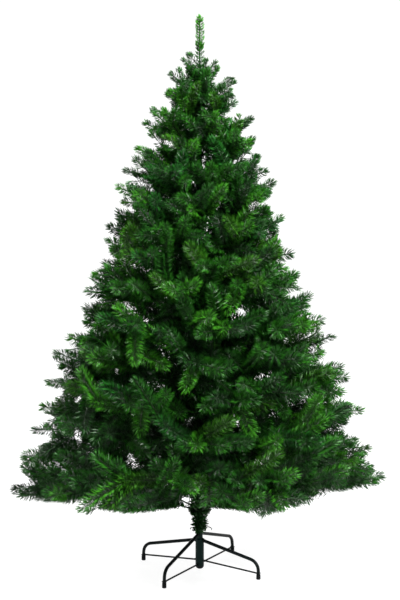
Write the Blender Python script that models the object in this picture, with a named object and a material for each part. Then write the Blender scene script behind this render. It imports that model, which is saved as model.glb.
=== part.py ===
"""An artificial Christmas tree, 1.8 m tall, on a folding four-legged steel stand.

Metres, +Z up. The origin is on the pole's axis at floor level, and the camera
side is -Y. The crown is built the way the real tree is: a pole that runs up
through it, and tiers of hinged boughs, each tier shown here as a ring of
separate foliage masses with fingers that reach the bough tips.
"""

import math
import random

import bmesh
import bpy
from mathutils import Vector
from mathutils.bvhtree import BVHTree

# ---------------------------------------------------------------- named sizes
TREE_HEIGHT = 1.800
CROWN_REACH = 0.620          # furthest bough tip from the pole's axis
GAP = 0.0004                 # clearance between touching pieces

# pole
POLE_R_LOW = 0.0086
POLE_R_MID = 0.0078
POLE_R_TIP = 0.0024
POLE_BOTTOM = 0.0165
POLE_JOINT_Z = 0.930         # where the upper length plugs into the lower
POLE_TIP_WIRE_Z = 1.560
POLE_TOP = 1.782

# stand
STAND_TURN = math.radians(58.4)      # azimuth of the upper bar's back leg
STAND_SKEW = math.radians(3.9)       # the lower bar isn't quite square to it
FOOT_REACH = 0.2135
CORNER_REACH = 0.2105
LEG_R = 0.0055
BEND_R = 0.034
BAR_UPPER = dict(hub_z=0.1200, corner_z=0.0575)
BAR_LOWER = dict(hub_z=0.0992, corner_z=0.0565)
SLEEVE_R, SLEEVE_BORE = 0.0140, 0.0106
SLEEVE_BOTTOM, SLEEVE_TOP = 0.0150, 0.1050
HUB_R, HUB_BORE, HUB_TOP = 0.0100, 0.0090, 0.1290
CAP_BOTTOM, CAP_ROUND = 0.0036, 0.0108
FOOT_R, FOOT_BORE, FOOT_HEIGHT = 0.0070, 0.0059, 0.0160
BRACE_R = 0.0029
BRACE_OUTER_Z = 0.0195
BRACE_HUB_Z_UPPER, BRACE_HUB_Z_LOWER = 0.0200, 0.0322

# lowest collar, its boughs and the foliage wound round the pole below it
COLLAR_BOTTOM, COLLAR_TOP = 0.1985, 0.2160
COLLAR_R, LUG_REACH, LUG_WIDTH = 0.0165, 0.0300, 0.0080
WRAP_BOTTOM, WRAP_TOP, WRAP_R = 0.1340, 0.1970, 0.0205
BOUGH_R_ROOT, BOUGH_R_END = 0.0024, 0.0018
BOUGH_Z, BOUGH_END_Z = 0.2075, 0.2220

# crown: each tier lies between two upward-opening cones z = foot + slope * r
TIER_FOOT = (0.186, 0.350, 0.545, 0.760, 0.975, 1.190, 1.405)
TIER_SLOPE = (0.060, 0.080, 0.110, 0.150, 0.210, 0.290, 0.420)
TIER_LIFT = (0.145, 0.055, 0.0, 0.0, 0.0, 0.0, 0.0)      # how much steeper the cones rise towards the front
TIER_LIFT_RIGHT = (0.050, 0.020, 0.0, 0.0, 0.0, 0.0, 0.0)
TIER_REACH = (0.620, 0.572, 0.500, 0.392, 0.308, 0.250, 0.176)
TIER_BOUGHS = (6, 6, 5, 5, 4, 3, 2)
TIER_TURN = tuple(math.radians(a) for a in (0, 28, 10, 40, 0, 52, 20))
TIER_INNER = (0.092, 0.0096, 0.0096, 0.0096, 0.0088, 0.0088, 0.0088)
CROWN_TOP = 1.672
CROWN_TAPER = 0.394          # how fast the outline narrows with height
WIDEST_Z, SHOULDER_Z = 0.290, 1.650
FRONT_RISE = 0.055           # in front the crown is widest this much higher up
BODY_SHARE = 0.87            # the bodies' share of the outline; fingers reach all of it
MASS_AROUND, MASS_ALONG = 13, 9
TIER_MARGIN = 0.0055         # half the gap left between two tiers
SIDE_MARGIN = 0.005          # half the gap between two masses of one tier
LEADER_R = 0.0135            # the brush of needles round the tip


# ------------------------------------------------------------------ materials
def material(name, colour, roughness, metallic=0.0):
    made = bpy.data.materials.new(name)
    made.use_nodes = True
    shader = made.node_tree.nodes["Principled BSDF"]
    shader.inputs["Base Color"].default_value = (*colour, 1.0)
    shader.inputs["Roughness"].default_value = roughness
    shader.inputs["Metallic"].default_value = metallic
    made.diffuse_color = (*colour, 1.0)
    return made


for old in list(bpy.data.objects):
    bpy.data.objects.remove(old, do_unlink=True)

NEEDLE = material("needle_green", (0.020, 0.085, 0.016), 0.55)
NEEDLE_DEEP = material("needle_deep_green", (0.010, 0.045, 0.012), 0.6)
POLE_PAINT = material("pole_green", (0.010, 0.045, 0.030), 0.4, 0.2)
STEEL_PAINT = material("stand_black_green", (0.006, 0.014, 0.012), 0.35, 0.3)
RUBBER = material("foot_black", (0.004, 0.004, 0.005), 0.7)
WIRE = material("bough_wire", (0.012, 0.020, 0.012), 0.5, 0.3)
PLASTIC = material("collar_plastic", (0.006, 0.016, 0.012), 0.5)


# -------------------------------------------------------------------- helpers
def add_object(name, data, mat):
    obj = bpy.data.objects.new(name, data)
    bpy.context.scene.collection.objects.link(obj)
    data.materials.append(mat)
    return obj


def finish_mesh(name, bm, mat, smooth=True):
    bmesh.ops.recalc_face_normals(bm, faces=bm.faces)
    mesh = bpy.data.meshes.new(name)
    bm.to_mesh(mesh)
    bm.free()
    if smooth:
        mesh.shade_smooth()
    return add_object(name, mesh, mat)


def turned(name, outline, mat, steps=20):
    """A solid of revolution about Z from a closed outline of (radius, height)."""
    bm = bmesh.new()
    ring = [bm.verts.new((r, 0.0, z)) for r, z in outline]
    edges = [bm.edges.new((a, b)) for a, b in zip(ring, ring[1:] + ring[:1])
             if a.co.x > 1e-9 or b.co.x > 1e-9]
    bmesh.ops.spin(bm, geom=ring + edges, cent=(0, 0, 0), axis=(0, 0, 1),
                   angle=math.tau, steps=steps, use_duplicate=False)
    bmesh.ops.remove_doubles(bm, verts=bm.verts, dist=1e-6)
    return finish_mesh(name, bm, mat)


def rod(name, points, radii, mat, sides=2):
    """A round rod along points; radii is one number or one for each point."""
    curve = bpy.data.curves.new(name, "CURVE")
    curve.dimensions = "3D"
    curve.bevel_depth = 1.0
    curve.bevel_resolution = sides
    curve.use_fill_caps = True
    line = curve.splines.new("POLY")
    line.points.add(len(points) - 1)
    for k, place in enumerate(points):
        line.points[k].co = (*place, 1.0)
        line.points[k].radius = radii[k] if isinstance(radii, (list, tuple)) else radii
    return add_object(name, curve, mat)


def polar(reach, turn, height):
    return Vector((reach * math.cos(turn), reach * math.sin(turn), height))


def rounded(start, corner, end, radius, steps):
    """The points of a path start-corner-end whose corner is an arc."""
    a = (start - corner).normalized()
    b = (end - corner).normalized()
    half = math.acos(max(-1.0, min(1.0, a.dot(b)))) / 2.0
    back = radius / math.tan(half)
    centre = corner + (a + b).normalized() * (radius / math.sin(half))
    first, last = corner + a * back, corner + b * back
    u, v = first - centre, last - centre
    whole = u.angle(v)
    arc = [centre + (u * math.sin(whole * (1 - t)) + v * math.sin(whole * t)) / math.sin(whole)
           for t in (k / steps for k in range(steps + 1))]
    return arc


# ----------------------------------------------------------------- the stand
def leg(name, turn, bar, hub_radius):
    """One leg: a straight arm down from the hub, a bend, and a short drop."""
    start = polar(hub_radius + GAP + 0.0015, turn, bar["hub_z"])
    corner = polar(CORNER_REACH, turn, bar["corner_z"])
    knee = polar(FOOT_REACH, turn, FOOT_HEIGHT + 0.006)
    tip = polar(FOOT_REACH, turn, 0.0036)
    points = [start, *rounded(start, corner, knee, BEND_R, 6), knee, tip]
    rod(name, points, LEG_R, STEEL_PAINT, 3)


def foot(name, turn):
    place = polar(FOOT_REACH, turn, 0.0)
    outline = [(0.0, 0.0), (FOOT_R - 0.0014, 0.0), (FOOT_R, 0.0016), (FOOT_R, FOOT_HEIGHT - 0.001),
               (FOOT_R - 0.0005, FOOT_HEIGHT), (FOOT_BORE, FOOT_HEIGHT), (FOOT_BORE, 0.0032), (0.0, 0.0032)]
    turned(name, outline, RUBBER, 12).location = place


def brace(name, turn, hub_z):
    inner = polar(SLEEVE_R + GAP + 0.0003, turn, hub_z)
    outer = polar(FOOT_REACH - LEG_R - GAP - 0.0007, turn, BRACE_OUTER_Z)
    rod(name, [inner, outer], BRACE_R, STEEL_PAINT, 2)


BARS = (("upper", BAR_UPPER, STAND_TURN, HUB_R, BRACE_HUB_Z_UPPER, ("back_right", "front_left")),
        ("lower", BAR_LOWER, STAND_TURN + math.pi / 2 + STAND_SKEW, SLEEVE_R, BRACE_HUB_Z_LOWER,
         ("back_left", "front_right")))
for _, bar, turn, hub_radius, brace_z, ends in BARS:
    for k, end in enumerate(ends):
        here = turn + math.pi * k
        leg(f"stand_leg_{end}", here, bar, hub_radius)
        foot(f"stand_foot_{end}", here)
        brace(f"stand_brace_{end}", here, brace_z)

turned("stand_sleeve", [(SLEEVE_BORE, SLEEVE_BOTTOM), (SLEEVE_R, SLEEVE_BOTTOM),
                        (SLEEVE_R, SLEEVE_TOP - 0.001), (SLEEVE_R - 0.0006, SLEEVE_TOP),
                        (SLEEVE_BORE, SLEEVE_TOP)], POLE_PAINT, 20)
turned("stand_hub_tube", [(HUB_BORE, SLEEVE_BOTTOM + 0.0005), (HUB_R, SLEEVE_BOTTOM + 0.0005),
                          (HUB_R, HUB_TOP), (HUB_BORE, HUB_TOP)], POLE_PAINT, 20)
CAP_ARC = [(SLEEVE_R + 0.0002 - CAP_ROUND * (1 - math.cos(a)), CAP_BOTTOM + CAP_ROUND * (1 - math.sin(a)))
           for a in (math.radians(90 - 22.5 * k) for k in range(5))]
turned("stand_end_cap", [(0.0, CAP_BOTTOM), *CAP_ARC, (SLEEVE_R + 0.0002, SLEEVE_BOTTOM - GAP),
                         (0.0, SLEEVE_BOTTOM - GAP)], RUBBER, 20)

# ------------------------------------------------------------------ the pole
turned("pole", [(0.0, POLE_BOTTOM), (POLE_R_LOW, POLE_BOTTOM), (POLE_R_LOW, POLE_JOINT_Z),
                (POLE_R_MID, POLE_JOINT_Z + 0.003), (POLE_R_MID, POLE_TIP_WIRE_Z),
                (POLE_R_TIP + 0.001, POLE_TIP_WIRE_Z + 0.008), (POLE_R_TIP, POLE_TIP_WIRE_Z + 0.05),
                (POLE_R_TIP * 0.7, POLE_TOP), (0.0, POLE_TOP)], POLE_PAINT, 16)


# -------------------------------------------- collar, wound foliage and boughs
def collar():
    """A ring round the pole with a hinge lug for each lowest bough."""
    bore, count = POLE_R_LOW + GAP, TIER_BOUGHS[0]
    outline = []
    for k in range(count):
        here = TIER_TURN[0] + math.tau * k / count
        half = math.asin(LUG_WIDTH / 2 / COLLAR_R)
        reach = math.hypot(LUG_REACH, LUG_WIDTH / 2)
        wide = math.atan2(LUG_WIDTH / 2, LUG_REACH)
        outline += [(COLLAR_R, here - half), (reach, here - wide), (reach, here + wide), (COLLAR_R, here + half)]
        step = math.tau / count - 2 * half
        outline += [(COLLAR_R, here + half + step * t / 3) for t in (1, 2)]
    bm = bmesh.new()
    n = len(outline)
    outer = [bm.verts.new(polar(r, a, COLLAR_BOTTOM)) for r, a in outline]
    inner = [bm.verts.new(polar(bore / math.cos(math.pi / n), a, COLLAR_BOTTOM)) for _, a in outline]
    faces = [bm.faces.new((outer[k], outer[(k + 1) % n], inner[(k + 1) % n], inner[k])) for k in range(n)]
    raised = bmesh.ops.extrude_face_region(bm, geom=faces)["geom"]
    bmesh.ops.translate(bm, verts=[g for g in raised if isinstance(g, bmesh.types.BMVert)],
                        vec=(0, 0, COLLAR_TOP - COLLAR_BOTTOM))
    finish_mesh("bough_collar", bm, PLASTIC, smooth=False)


def wound_foliage():
    """Short needles wound round the pole between the stand and the collar."""
    bore, rings = POLE_R_LOW + GAP, 7
    outline = [(bore, WRAP_BOTTOM)]
    for k in range(rings + 1):
        t = k / rings
        swell = 0.45 + 0.55 * math.sin(math.pi * min(1.0, t * 1.15 + 0.05) * 0.75) + 0.06 * math.sin(9.0 * t)
        outline.append((bore + (WRAP_R - bore) * min(1.0, swell), WRAP_BOTTOM + (WRAP_TOP - WRAP_BOTTOM) * t))
    outline.append((bore, WRAP_TOP))
    turned("foliage_pole_wrap", outline, NEEDLE_DEEP, 14)


collar()
wound_foliage()

# ------------------------------------------------------------- foliage masses
def tier_floor(tier, reach, azimuth):
    """The height of the cone under a tier; the one past the last is the crown's top."""
    if tier == len(TIER_FOOT):
        return CROWN_TOP - 0.35 * reach
    slope = (TIER_SLOPE[tier] + TIER_LIFT[tier] * max(0.0, -math.sin(azimuth)) ** 0.8
             + TIER_LIFT_RIGHT[tier] * max(0.0, math.cos(azimuth)))
    return TIER_FOOT[tier] + slope * reach


def crown_radius(height, azimuth):
    """The crown's outline: how far the furthest tips reach at a height."""
    widest = WIDEST_Z + FRONT_RISE * max(0.0, -math.sin(azimuth))
    return max(0.03, CROWN_REACH - CROWN_TAPER * max(0.0, height - widest) - 0.9 * max(0.0, height - SHOULDER_Z))


def inside(tier, turn, place, share):
    """True if a point is inside the room of one mass: between its tier's two
    cones, inside its sector, outside the pole and within a share of the crown."""
    along = place.x * math.cos(turn) + place.y * math.sin(turn)
    aside = -place.x * math.sin(turn) + place.y * math.cos(turn)
    reach = math.hypot(place.x, place.y)
    half = math.pi / TIER_BOUGHS[tier]
    azimuth = math.atan2(place.y, place.x)
    if along < TIER_INNER[tier] or reach > share * crown_radius(place.z, azimuth):
        return False
    if half < math.pi / 2 - 1e-6 and along * math.sin(half) - abs(aside) * math.cos(half) < SIDE_MARGIN:
        return False
    if place.z < tier_floor(tier, reach, azimuth) + TIER_MARGIN:
        return False
    return place.z < tier_floor(tier + 1, reach, azimuth) - TIER_MARGIN


def room(tier, turn, centre, way, share):
    """How far one may go from centre along way and stay inside."""
    low, high, step = 0.0, 0.0, 0.006
    while inside(tier, turn, centre + way * (high + step), share):
        high += step
    low, high = high, high + step
    for _ in range(8):
        middle = (low + high) / 2
        if inside(tier, turn, centre + way * middle, share):
            low = middle
        else:
            high = middle
    return low


def soft_least(a, b, blend):
    """Never more than the smaller of the two, and smooth where they cross."""
    return min(a, b) - blend * math.log1p(math.exp(-abs(a - b) / blend))


def crown_mass(tier, number):
    """One uneven mass: a lumpy body inside its cell, and fingers to the tips."""
    count = TIER_BOUGHS[tier]
    turn = TIER_TURN[tier] + math.tau * number / count
    rng = random.Random(100 * tier + number)
    inner = TIER_INNER[tier]
    out = Vector((math.cos(turn), math.sin(turn), 0.0))
    side = Vector((-math.sin(turn), math.cos(turn), 0.0))
    up = Vector((0.0, 0.0, 1.0))

    def height_at(reach, part, azimuth=turn):
        low = tier_floor(tier, reach, azimuth) + TIER_MARGIN
        return low + (tier_floor(tier + 1, reach, azimuth) - TIER_MARGIN - low) * part

    reach = crown_radius(height_at(0.7 * TIER_REACH[tier], 0.45), turn)
    heart = inner + 0.45 * (reach - inner)
    centre = out * heart + up * height_at(heart, 0.5)
    half = min(math.pi / count, math.radians(60))
    spread = half * 0.66
    # the tips that this mass reaches: azimuth offset, share of reach, height in the tier
    tips = [(0.0, 1.0, 0.40), (-spread, rng.uniform(0.95, 1.0), rng.uniform(0.2, 0.5)),
            (spread, rng.uniform(0.95, 1.0), rng.uniform(0.5, 0.8)),
            (-0.5 * spread, rng.uniform(0.94, 1.0), 0.84), (0.5 * spread, rng.uniform(0.93, 1.0), 0.10)]
    fingers = []
    for offset, share, part in tips:
        r = reach * share
        for _ in range(4):                       # settle on the outline at that height
            r = share * crown_radius(height_at(r, part, turn + offset), turn + offset)
        way = polar(r, turn + offset, height_at(r, part, turn + offset)) - centre
        fingers.append((way.normalized(), way.length))
    phases = [rng.uniform(0, math.tau) for _ in range(4)]
    thick = 0.5 * (tier_floor(tier + 1, heart, turn) - tier_floor(tier, heart, turn)) * 1.22
    wide = max(0.05, heart * math.sin(half)) * 1.15

    def distance(way):
        a, b, c = way.dot(out), way.dot(side), way.dot(up)
        wave = (math.sin(3.1 * a + 5.3 * b + phases[0]) * math.sin(4.7 * c + 2.9 * b + phases[1])
                + 0.6 * math.sin(7.9 * b + 6.1 * c + phases[2]) * math.sin(6.7 * a + phases[3]))
        along = 0.84 * reach - heart if a > 0 else heart - inner + 0.004
        flare = wide * (1.0 + 0.8 * a)
        core = (abs(a / along) ** 4 + abs(b / flare) ** 4 + abs(c / thick) ** 4) ** (-1 / 4)
        core *= 1.0 + 0.09 * wave
        body = soft_least(core, room(tier, turn, centre, way, BODY_SHARE), 0.004)
        most = room(tier, turn, centre, way, 1.0)
        for direction, far in fingers:
            near = max(0.0, way.dot(direction))
            body = max(body, body + (far * 1.01 - body) * math.exp(-(1.0 - near) * 60.0))
        return max(0.004, min(body, most))

    bm = bmesh.new()
    bmesh.ops.create_uvsphere(bm, u_segments=MASS_AROUND, v_segments=MASS_ALONG, radius=1.0)
    for vert in bm.verts:
        tilt = math.acos(max(-1.0, min(1.0, vert.co.z)))
        around = math.atan2(vert.co.y, vert.co.x)
        tilt = math.pi * (tilt / math.pi) ** 1.3     # finer towards the tips
        way = (out * math.cos(tilt) + (side * math.cos(around) + up * math.sin(around)) * math.sin(tilt)).normalized()
        vert.co = centre + way * distance(way)
    bmesh.ops.triangulate(bm, faces=bm.faces)
    skin = BVHTree.FromBMesh(bm)
    finish_mesh(f"foliage_tier{tier + 1}_{'abcdef'[number]}", bm, NEEDLE if tier % 2 else NEEDLE_DEEP)
    return skin, turn


def bough(number, skin, turn):
    """The wire that carries a lowest mass, from its hinge lug to where it goes in."""
    root = polar(LUG_REACH + GAP + 0.0008, turn, BOUGH_Z)
    reach = TIER_INNER[0] + 0.03
    aim = polar(reach, turn, max(BOUGH_END_Z + 0.004, tier_floor(0, reach, turn) + 0.026))
    way = (aim - root).normalized()
    entry, normal = skin.ray_cast(root, way, 0.5)[:2]
    square = max(0.2, abs(way.dot(normal)))
    stop = entry - way * (BOUGH_R_END * math.sqrt(1.0 - square ** 2) / square + 0.0014)
    rod(f"bough_{'abcdef'[number]}", [root.lerp(stop, t / 3) for t in range(4)],
        [BOUGH_R_ROOT + (BOUGH_R_END - BOUGH_R_ROOT) * t / 3 for t in range(4)], WIRE, 2)


for tier, count in enumerate(TIER_BOUGHS):
    for number in range(count):
        skin, turn = crown_mass(tier, number)
        if tier == 0:
            bough(number, skin, turn)


def leader():
    """The brush of needles on the tip, open below where the pole comes in."""
    bore = POLE_R_TIP + 0.0012
    bottom, outline = CROWN_TOP + 0.001, []
    outline.append((bore, bottom))
    for k in range(8):
        t = k / 7
        outline.append((LEADER_R * (0.86 + 0.14 * math.sin(11.0 * t)) * (1.0 - 0.25 * t ** 6),
                        bottom + (TREE_HEIGHT - 0.006 - bottom) * t))
    outline += [(0.0, TREE_HEIGHT), (0.0, POLE_TOP + 0.002), (bore, POLE_TOP + 0.001)]
    turned("foliage_leader", outline, NEEDLE, 12)


leader()
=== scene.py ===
"""The looks of an artificial Christmas tree on a four-leg steel stand.

The crown is grown from a seeded branching rule: tiers of hinged wire boughs
hook into collars on the pole, each bough forks into brush-like tips, and every
tip is bound with flat plastic needles. -Y is the camera side.
"""
import math

import bmesh
import bpy
import numpy as np
from mathutils import Matrix, Vector


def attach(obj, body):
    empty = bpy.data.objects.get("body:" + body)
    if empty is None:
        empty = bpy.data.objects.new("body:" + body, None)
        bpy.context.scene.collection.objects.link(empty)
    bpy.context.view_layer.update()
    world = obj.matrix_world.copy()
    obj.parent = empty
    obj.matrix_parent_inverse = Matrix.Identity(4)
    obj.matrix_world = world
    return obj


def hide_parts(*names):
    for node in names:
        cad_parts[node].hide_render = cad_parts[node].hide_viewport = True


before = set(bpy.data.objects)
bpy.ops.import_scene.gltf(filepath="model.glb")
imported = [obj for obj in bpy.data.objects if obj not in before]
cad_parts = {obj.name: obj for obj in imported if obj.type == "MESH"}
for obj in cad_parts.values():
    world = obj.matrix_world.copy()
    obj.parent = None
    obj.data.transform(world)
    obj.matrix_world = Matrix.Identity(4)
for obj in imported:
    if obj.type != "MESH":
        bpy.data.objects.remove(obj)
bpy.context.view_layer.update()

RNG = np.random.default_rng(2417)

# --------------------------------------------------------------- named sizes
TREE_TOP = 1.800
NEEDLE_WIDTH = 0.0029
NEEDLE_TRIANGLES = 880_000       # two for each needle, in all
WINDING = 0.0106                 # one turn of the twisted film along a tip

# The crown's outline: height, and the reach to the left and to the right there.
OUTLINE = (
    (0.200, 0.400, 0.372), (0.262, 0.612, 0.500), (0.315, 0.604, 0.606), (0.400, 0.585, 0.565),
    (0.500, 0.548, 0.525), (0.600, 0.512, 0.505), (0.700, 0.476, 0.468), (0.800, 0.420, 0.432),
    (0.900, 0.382, 0.372), (1.000, 0.335, 0.326), (1.100, 0.306, 0.290), (1.200, 0.272, 0.262),
    (1.300, 0.250, 0.238), (1.400, 0.200, 0.192), (1.480, 0.172, 0.168), (1.550, 0.122, 0.124),
    (1.610, 0.098, 0.098), (1.650, 0.062, 0.062),
)
# One line a tier, from the bottom up: the collar's height on the pole, how far
# above it the boughs end, how many boughs, the needles' length, the first azimuth.
TIERS = (
    (0.207, 0.085, 10, 0.035, 0), (0.320, 0.095, 9, 0.035, 20), (0.425, 0.105, 8, 0.035, 0),
    (0.530, 0.112, 8, 0.035, 22), (0.635, 0.118, 8, 0.035, 0), (0.735, 0.122, 7, 0.034, 26),
    (0.835, 0.125, 7, 0.033, 0), (0.930, 0.128, 7, 0.032, 26), (1.020, 0.130, 6, 0.031, 0),
    (1.110, 0.130, 6, 0.029, 30), (1.195, 0.130, 6, 0.027, 0), (1.280, 0.125, 5, 0.025, 36),
    (1.360, 0.120, 5, 0.024, 0), (1.440, 0.110, 4, 0.022, 45), (1.510, 0.095, 4, 0.020, 10),
    (1.570, 0.080, 3, 0.018, 60),
)
BRUSH = 0.145                    # the length of a tip that is fully bound
SPACING = 0.084                  # between the tips over the crown's surface
# The crown's underside round the tree: degrees, rise outwards from the lowest collar.
UNDERSIDE = (
    (0, 0.120), (25, 0.115), (90, 0.150), (160, 0.085), (180, 0.055), (197, 0.165), (215, 0.195), (232, 0.190),
    (250, 0.225), (268, 0.262), (286, 0.225), (304, 0.215), (318, 0.270), (342, 0.210), (360, 0.120),
)
# In front the underside lifts over the pole, so that the collar shows: across, half as wide, height, rise.
LIFT_X, LIFT_HALF, LIFT_BASE, LIFT_SLOPE = -0.035, 0.042, 0.250, 0.272
# The fingers that stand out at the crown's two sides: reach and height of each end.
LEFT_TIPS = (
    (0.062, 1.658), (0.100, 1.614), (0.113, 1.550), (0.157, 1.499), (0.183, 1.460), (0.164, 1.430), (0.208, 1.380),
    (0.215, 1.345), (0.247, 1.310), (0.270, 1.259), (0.254, 1.215), (0.273, 1.177), (0.302, 1.130), (0.303, 1.084),
    (0.316, 1.013), (0.349, 0.978), (0.372, 0.926), (0.382, 0.870), (0.379, 0.826), (0.434, 0.775), (0.477, 0.725),
    (0.455, 0.679), (0.504, 0.626), (0.528, 0.547), (0.552, 0.468), (0.586, 0.385), (0.590, 0.345), (0.621, 0.275),
)
RIGHT_TIPS = (
    (0.067, 1.633), (0.118, 1.589), (0.102, 1.561), (0.121, 1.525), (0.172, 1.474), (0.178, 1.410), (0.195, 1.354),
    (0.220, 1.310), (0.246, 1.275), (0.227, 1.240), (0.223, 1.190), (0.272, 1.161), (0.252, 1.110), (0.305, 1.045),
    (0.322, 0.978), (0.312, 0.952), (0.367, 0.910), (0.358, 0.878), (0.407, 0.832), (0.440, 0.777), (0.408, 0.725),
    (0.473, 0.676), (0.490, 0.645), (0.474, 0.597), (0.540, 0.534), (0.486, 0.494), (0.562, 0.407), (0.609, 0.317),
)
# More tips that fill the fingers out: across and height.
EXTRA_TIPS = (
    (-0.600, 0.258), (-0.545, 0.250), (-0.480, 0.245), (-0.580, 0.365), (-0.572, 0.330), (-0.047, 1.676), (0.060, 1.652),
    (0.545, 0.388), (0.572, 0.345), (0.590, 0.300), (0.535, 0.300), (0.520, 0.440), (0.455, 0.285), (0.430, 0.238),
    (-0.385, 0.205), (0.110, 1.604), (0.500, 0.560), (0.465, 0.655), (-0.490, 0.700), (0.268, 1.150),
    (-0.150, 1.490), (0.160, 1.465), (-0.360, 0.960), (0.350, 0.900),
    (0.240, 0.206), (0.285, 0.214), (0.330, 0.226),
)
# Between each finger and the next the edge draws in to here.
LEFT_NOTCHES = (
    (0.043, 1.645), (0.087, 1.586), (0.075, 1.527), (0.141, 1.483), (0.157, 1.433), (0.104, 1.398), (0.202, 1.367),
    (0.209, 1.332), (0.164, 1.282), (0.228, 1.221), (0.251, 1.205), (0.270, 1.165), (0.280, 1.116), (0.284, 1.055),
    (0.313, 1.003), (0.323, 0.946), (0.362, 0.910), (0.369, 0.850), (0.363, 0.800), (0.403, 0.748), (0.439, 0.689),
    (0.420, 0.646), (0.437, 0.593), (0.483, 0.508), (0.474, 0.438), (0.580, 0.371), (0.545, 0.301),
)
RIGHT_NOTCHES = (
    (0.042, 1.611), (0.086, 1.577), (0.100, 1.552), (0.083, 1.496), (0.125, 1.430), (0.150, 1.370), (0.173, 1.326),
    (0.205, 1.291), (0.227, 1.250), (0.215, 1.212), (0.221, 1.182), (0.237, 1.142), (0.244, 1.100), (0.277, 1.013),
    (0.312, 0.959), (0.309, 0.945), (0.348, 0.886), (0.336, 0.861), (0.382, 0.793), (0.369, 0.741), (0.402, 0.715),
    (0.470, 0.665), (0.468, 0.616), (0.455, 0.570), (0.489, 0.508), (0.463, 0.478), (0.533, 0.378),
)
# The crown's lower edge in front: across and height.
LOWER_EDGE = (
    (-0.640, 0.262), (-0.618, 0.251), (-0.579, 0.238), (-0.539, 0.228), (-0.422, 0.222), (-0.402, 0.192), (-0.363, 0.187),
    (-0.343, 0.212), (-0.300, 0.201), (-0.265, 0.191), (-0.186, 0.191), (-0.147, 0.195), (-0.107, 0.204), (-0.068, 0.211),
    (0.050, 0.211), (0.070, 0.207), (0.149, 0.199), (0.168, 0.190), (0.188, 0.174), (0.208, 0.171), (0.227, 0.186),
    (0.267, 0.194), (0.306, 0.204), (0.365, 0.217), (0.384, 0.262), (0.443, 0.261), (0.482, 0.256), (0.521, 0.268),
    (0.580, 0.285), (0.625, 0.305),
)
# Where the sky shows between the boughs: across, height, half as long, half as wide, turned up to the right.
SKY_GAPS = (
    (-0.022, 1.654, 0.025, 0.017, -65), (0.037, 1.647, 0.024, 0.009, 3), (-0.073, 1.608, 0.020, 0.012, -20),
    (0.066, 1.594, 0.031, 0.018, 5), (0.090, 1.562, 0.012, 0.009, -29), (0.066, 1.552, 0.015, 0.010, 36),
    (-0.133, 1.506, 0.013, 0.009, -5), (0.087, 1.485, 0.028, 0.009, 11), (0.139, 1.476, 0.026, 0.009, -1),
    (-0.136, 1.472, 0.039, 0.018, -6), (-0.170, 1.453, 0.013, 0.008, -36), (0.144, 1.422, 0.028, 0.009, -2),
    (-0.111, 1.400, 0.041, 0.010, -22), (-0.146, 1.390, 0.042, 0.009, -5), (0.157, 1.355, 0.029, 0.012, 9),
    (0.113, 1.338, 0.017, 0.006, 39), (0.195, 1.316, 0.021, 0.007, -5), (-0.192, 1.313, 0.047, 0.013, -18),
    (0.203, 1.279, 0.031, 0.018, 6), (-0.192, 1.270, 0.039, 0.010, -4), (-0.234, 1.225, 0.021, 0.019, -52),
    (0.174, 1.198, 0.036, 0.014, 51), (-0.220, 1.186, 0.019, 0.010, -37), (0.243, 1.161, 0.022, 0.010, 6),
    (-0.272, 1.144, 0.024, 0.009, -29), (0.215, 1.119, 0.014, 0.012, 44), (-0.337, 0.935, 0.014, 0.006, -33),
    (0.318, 0.913, 0.037, 0.013, 16), (0.366, 0.841, 0.026, 0.008, 4), (-0.173, 0.828, 0.015, 0.008, -16),
    (-0.395, 0.791, 0.038, 0.010, 0), (0.405, 0.780, 0.021, 0.006, 9), (0.418, 0.763, 0.032, 0.007, 12),
    (-0.427, 0.740, 0.027, 0.008, 1), (0.367, 0.733, 0.029, 0.020, 36), (0.409, 0.696, 0.022, 0.014, 67),
    (0.445, 0.682, 0.018, 0.011, -12), (-0.269, 0.663, 0.014, 0.008, -75), (-0.460, 0.607, 0.031, 0.011, -4),
    (0.448, 0.576, 0.017, 0.008, 8), (-0.397, 0.568, 0.021, 0.009, 54), (-0.487, 0.567, 0.023, 0.006, 3),
    (0.510, 0.515, 0.027, 0.007, -1), (-0.493, 0.512, 0.031, 0.011, -31), (0.491, 0.458, 0.023, 0.011, 4),
    (-0.401, 0.455, 0.040, 0.014, -81), (-0.506, 0.453, 0.033, 0.013, 6), (0.525, 0.417, 0.018, 0.008, 60),
    (-0.546, 0.402, 0.022, 0.009, 0), (0.491, 0.385, 0.025, 0.008, 33), (-0.566, 0.291, 0.046, 0.010, -2),
    (0.420, 0.265, 0.057, 0.011, 0), (-0.047, 0.236, 0.034, 0.020, 8),
)
# Tips that hang under the crown's edge: where each ends.
HANGING_TIPS = ((-0.345, -0.490, 0.322), (0.190, -0.500, 0.312), (0.240, -0.500, 0.335), (-0.270, -0.500, 0.330),
                (-0.200, -0.520, 0.338), (0.300, -0.450, 0.345))


# ------------------------------------------------------------------ materials
def new_material(name):
    made = bpy.data.materials.new(name)
    made.use_nodes = True
    tree = made.node_tree
    return made, tree, tree.nodes["Principled BSDF"]


def needle_material(name, colour, roughness):
    """Moulded plastic film: one even dye with a soft shine on both sides."""
    made, _, shader = new_material(name)
    shader.inputs["Base Color"].default_value = (*colour, 1.0)
    shader.inputs["Roughness"].default_value = roughness
    shader.inputs["Specular IOR Level"].default_value = 0.25
    shader.inputs["IOR"].default_value = 1.5
    return made


DYES = (
    ("deep", (0.0044, 0.0350, 0.0026), 0.46), ("forest", (0.0072, 0.0560, 0.0033), 0.43),
    ("mid", (0.0108, 0.0760, 0.0036), 0.41), ("fresh", (0.0225, 0.1260, 0.0054), 0.39),
    ("warm", (0.0185, 0.0850, 0.0034), 0.41), ("cool", (0.0074, 0.0670, 0.0064), 0.41),
)
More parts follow.
